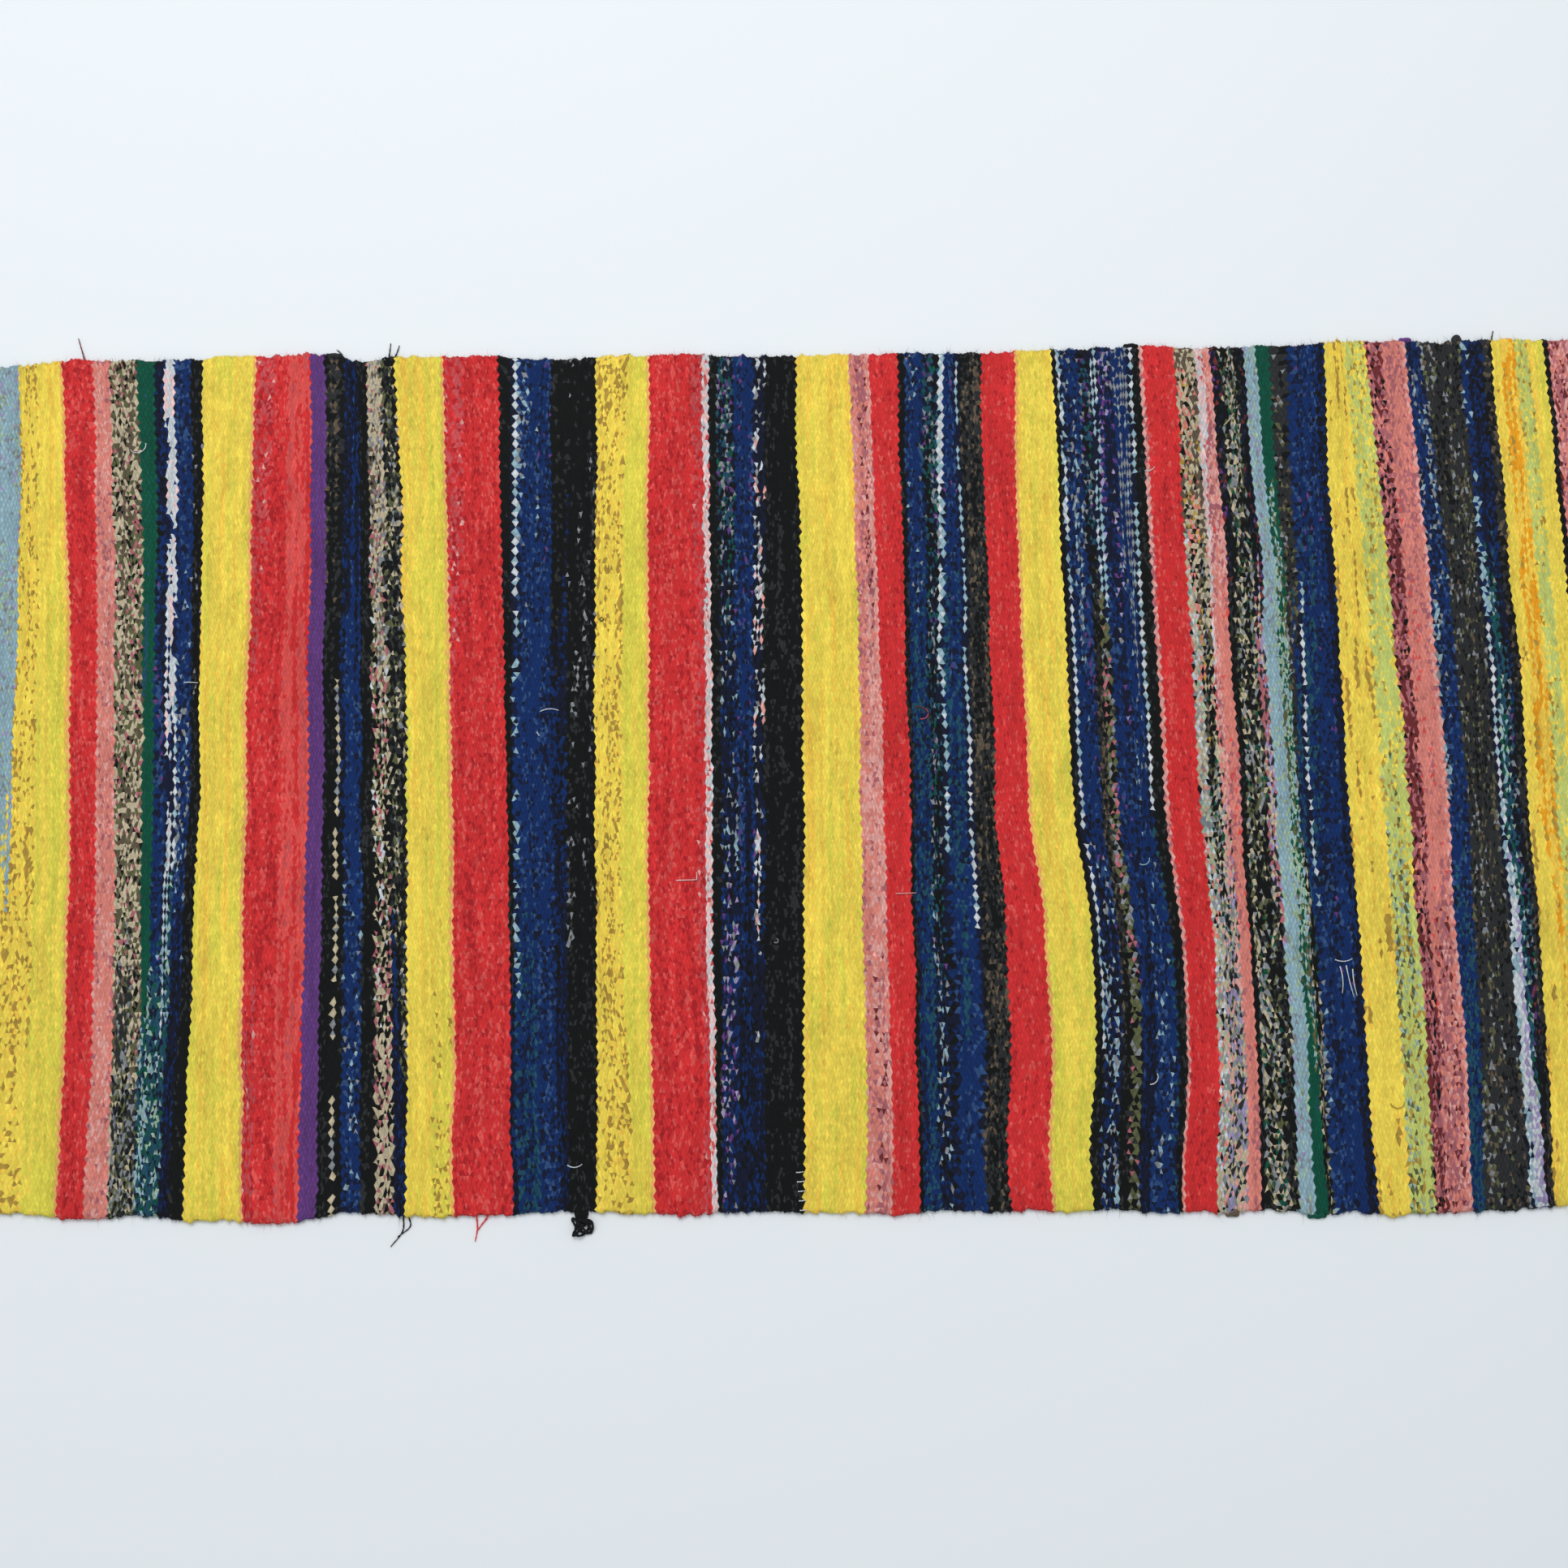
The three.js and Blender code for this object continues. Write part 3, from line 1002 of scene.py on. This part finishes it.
def knot_route():
    """The route of the knot: one yarn wound over and under itself."""
    turn = np.linspace(0, 2 * math.pi, 110)
    swing = 0.8 + 0.2 * np.sin(5 * turn)
    winding = np.column_stack([np.sin(3 * turn + 0.4) * swing, np.cos(4 * turn) * swing, np.sin(7 * turn)])
    return np.array(KNOT_PLACE) + winding * KNOT_REACH, KNOT_YARN, 1.0, KNOT_DYE


def face_thread_routes():
    """The routes of the threads on the face, each a curl of its own, and of the row of stitches."""
    row = [np.array(STITCH_ROW) + number * np.array(STITCH_STEP) for number in range(STITCHES)]
    stitches = [(x, y, 6, 0, 10, "white") for x, y in row]
    for x, y, length, heading, turn, dye in FACE_THREADS + stitches:
        steps = 12
        headings = np.radians(heading + np.linspace(0, turn, steps))
        plan = np.stack([np.cos(headings), np.sin(headings)], -1).cumsum(0) * length / steps
        height = thickness(x) + THREAD_LIFT + THREAD_ARCH * np.sin(np.linspace(0, math.pi, steps))
        yield np.column_stack([x + plan[:, 0], y + plan[:, 1], height]), FACE_YARN, 0.6, dye


def selvedge_fuzz():
    """Short fibres along both selvedges, each a slim three-sided point."""
    count = 2 * FUZZ_PER_SELVEDGE
    pick = RNG.uniform(0, PICKS, count)
    far_side = np.arange(count) % 2
    outward = 2 * far_side - 1
    column = np.where(far_side, WARPS, 0) + outward * RNG.uniform(0.2, SELVEDGE_COLUMNS * 0.7, count)
    root = on_cloth(pick, column, np.zeros(count)) / MM
    swing = RNG.normal(size=count) * FUZZ_SWING
    rise = RNG.normal(size=count) * FUZZ_RISE
    length = FUZZ_LENGTH * RNG.gamma(2.2, 0.32, count)
    out = np.column_stack([np.sin(swing), outward * np.cos(swing), rise])
    tip = root + out * np.minimum(length, 3 * FUZZ_LENGTH)[:, None]
    tip[:, 2] = np.maximum(tip[:, 2], FUZZ_LOWEST)
    foot = root - out * FUZZ_ROOT
    foot[:, 2] = np.maximum(foot[:, 2], FUZZ_LOWEST)
    angles = np.arange(3) * 2 * math.pi / 3
    ring = np.column_stack([np.cos(angles), 0 * angles, np.sin(angles)]) * FUZZ_THICKNESS
    points = np.concatenate([foot[:, None] + ring, tip[:, None]], 1)
    shape = np.array(((0, 1, 3), (1, 2, 3), (2, 0, 3), (2, 1, 0)))
    faces = (np.arange(count)[:, None, None] * 4 + shape).reshape(-1, 3)
    edge_column = np.where(far_side, COLUMNS - 1, 0)
    dyes = FLOAT_DYES[np.minimum(pick.astype(int), PICKS - 1), edge_column]
    return points.reshape(-1, 3), faces, np.repeat(dyes, len(shape))


def yarn_piece(name, parts, material):
    """One object from several stretches of yarn, each with its dye."""
    points = []
    faces = []
    dyes = []
    start = 0
    for part_points, part_faces, part_dyes in parts:
        points.append(part_points)
        faces.append(part_faces + start)
        dyes.append(np.broadcast_to(part_dyes, len(part_faces)))
        start += len(part_points)
    piece = mesh_piece(name, np.concatenate(points) * MM, np.concatenate(faces), material)
    set_values(piece, "dye", "FACE", dye_place(np.concatenate(dyes)))
    set_values(piece, "shade", "FACE", np.ones(len(piece.data.polygons)))
    # Painted shade: loose yarn, face threads and fuzz are painted a little darker all over
    set_values(piece, "light", "POINT", np.full(start, YARN_PAINTED_LIGHT))
    return piece


def tubes(routes):
    """The yarn along each route, with the number of its dye."""
    for route, width, taper, dye in routes:
        points, faces = yarn_tube(route, width, taper)
        yield points, faces, DYES[dye]


# Camera, light and floor


def photo_camera():
    """A camera where the photograph was taken from."""
    tip = math.radians(CAMERA_TIP_DEG)
    roll = math.radians(CAMERA_ROLL_DEG)
    forward = Vector((0, math.sin(tip), -math.cos(tip)))
    level = Vector((1, 0, 0))
    upward = level.cross(forward)
    right = level * math.cos(roll) - upward * math.sin(roll)
    up = level * math.sin(roll) + upward * math.cos(roll)
    data = bpy.data.cameras.new("photo_camera")
    data.sensor_width = SENSOR_WIDTH
    data.lens = SENSOR_WIDTH * CAMERA_DISTANCE / CAMERA_SEES
    data.clip_start = 0.01
    camera = bpy.data.objects.new("photo_camera", data)
    stand = Vector(CAMERA_AIM) - forward * CAMERA_DISTANCE
    camera.matrix_world = Matrix(
        (
            (right.x, up.x, -forward.x, stand.x),
            (right.y, up.y, -forward.y, stand.y),
            (right.z, up.z, -forward.z, stand.z),
            (0, 0, 0, 1),
        )
    )
    bpy.context.scene.collection.objects.link(camera)
    bpy.context.scene.camera = camera


def soft_light(name, place, aim, size, power):
    """A round soft lamp."""
    data = bpy.data.lights.new(name, "AREA")
    data.shape = "DISK"
    data.size = size
    data.energy = power
    light = bpy.data.objects.new(name, data)
    light.location = place
    light.rotation_euler = (Vector(aim) - Vector(place)).to_track_quat("-Z", "Y").to_euler()
    bpy.context.scene.collection.objects.link(light)


def room_light():
    """Even light all round, and a window at the far side."""
    world = bpy.data.worlds.new("room")
    world.use_nodes = True
    background = world.node_tree.nodes["Background"]
    background.inputs["Color"].default_value = ROOM_TINT
    background.inputs["Strength"].default_value = ROOM_STRENGTH
    bpy.context.scene.world = world
    soft_light("window", WINDOW_PLACE, (0, 0, 0), WINDOW_SIZE, WINDOW_POWER)


def pale_floor():
    """A plain pale floor."""
    half = FLOOR_SIZE / 2
    mesh = bpy.data.meshes.new("floor")
    corners = [(-half, -half, 0), (half, -half, 0), (half, half, 0), (-half, half, 0)]
    mesh.from_pydata(corners, [], [(0, 1, 2, 3)])
    material = bpy.data.materials.new("pale_floor")
    material.use_nodes = True
    shader = material.node_tree.nodes["Principled BSDF"]
    shader.inputs["Base Color"].default_value = (*linear(FLOOR_COLOUR), 1.0)
    shader.inputs["Roughness"].default_value = FLOOR_ROUGHNESS
    mesh.materials.append(material)
    floor = bpy.data.objects.new("floor", mesh)
    bpy.context.scene.collection.objects.link(floor)
    floor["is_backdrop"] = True


photo_camera()
room_light()
pale_floor()
bpy.context.scene.view_settings.view_transform = "Standard"

wool_yarns = dyed_wool()
wefts = weft_faces(wool_yarns)
ground = ground_sheet(wool_yarns)
loose_routes = [*loose_end_routes(), *loop_routes(), knot_route()]
loose_yarn = yarn_piece("loose_yarn", list(tubes(loose_routes)), wool_yarns)
face_threads = yarn_piece("face_threads", list(tubes(face_thread_routes())), wool_yarns)
fuzz = yarn_piece("selvedge_fuzz", [selvedge_fuzz()], wool_yarns)
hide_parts("rug")

boxes = {"cad": CAD_BOX, "visual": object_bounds()}
{name: [list(corner) for corner in box] for name, box in boxes.items()}
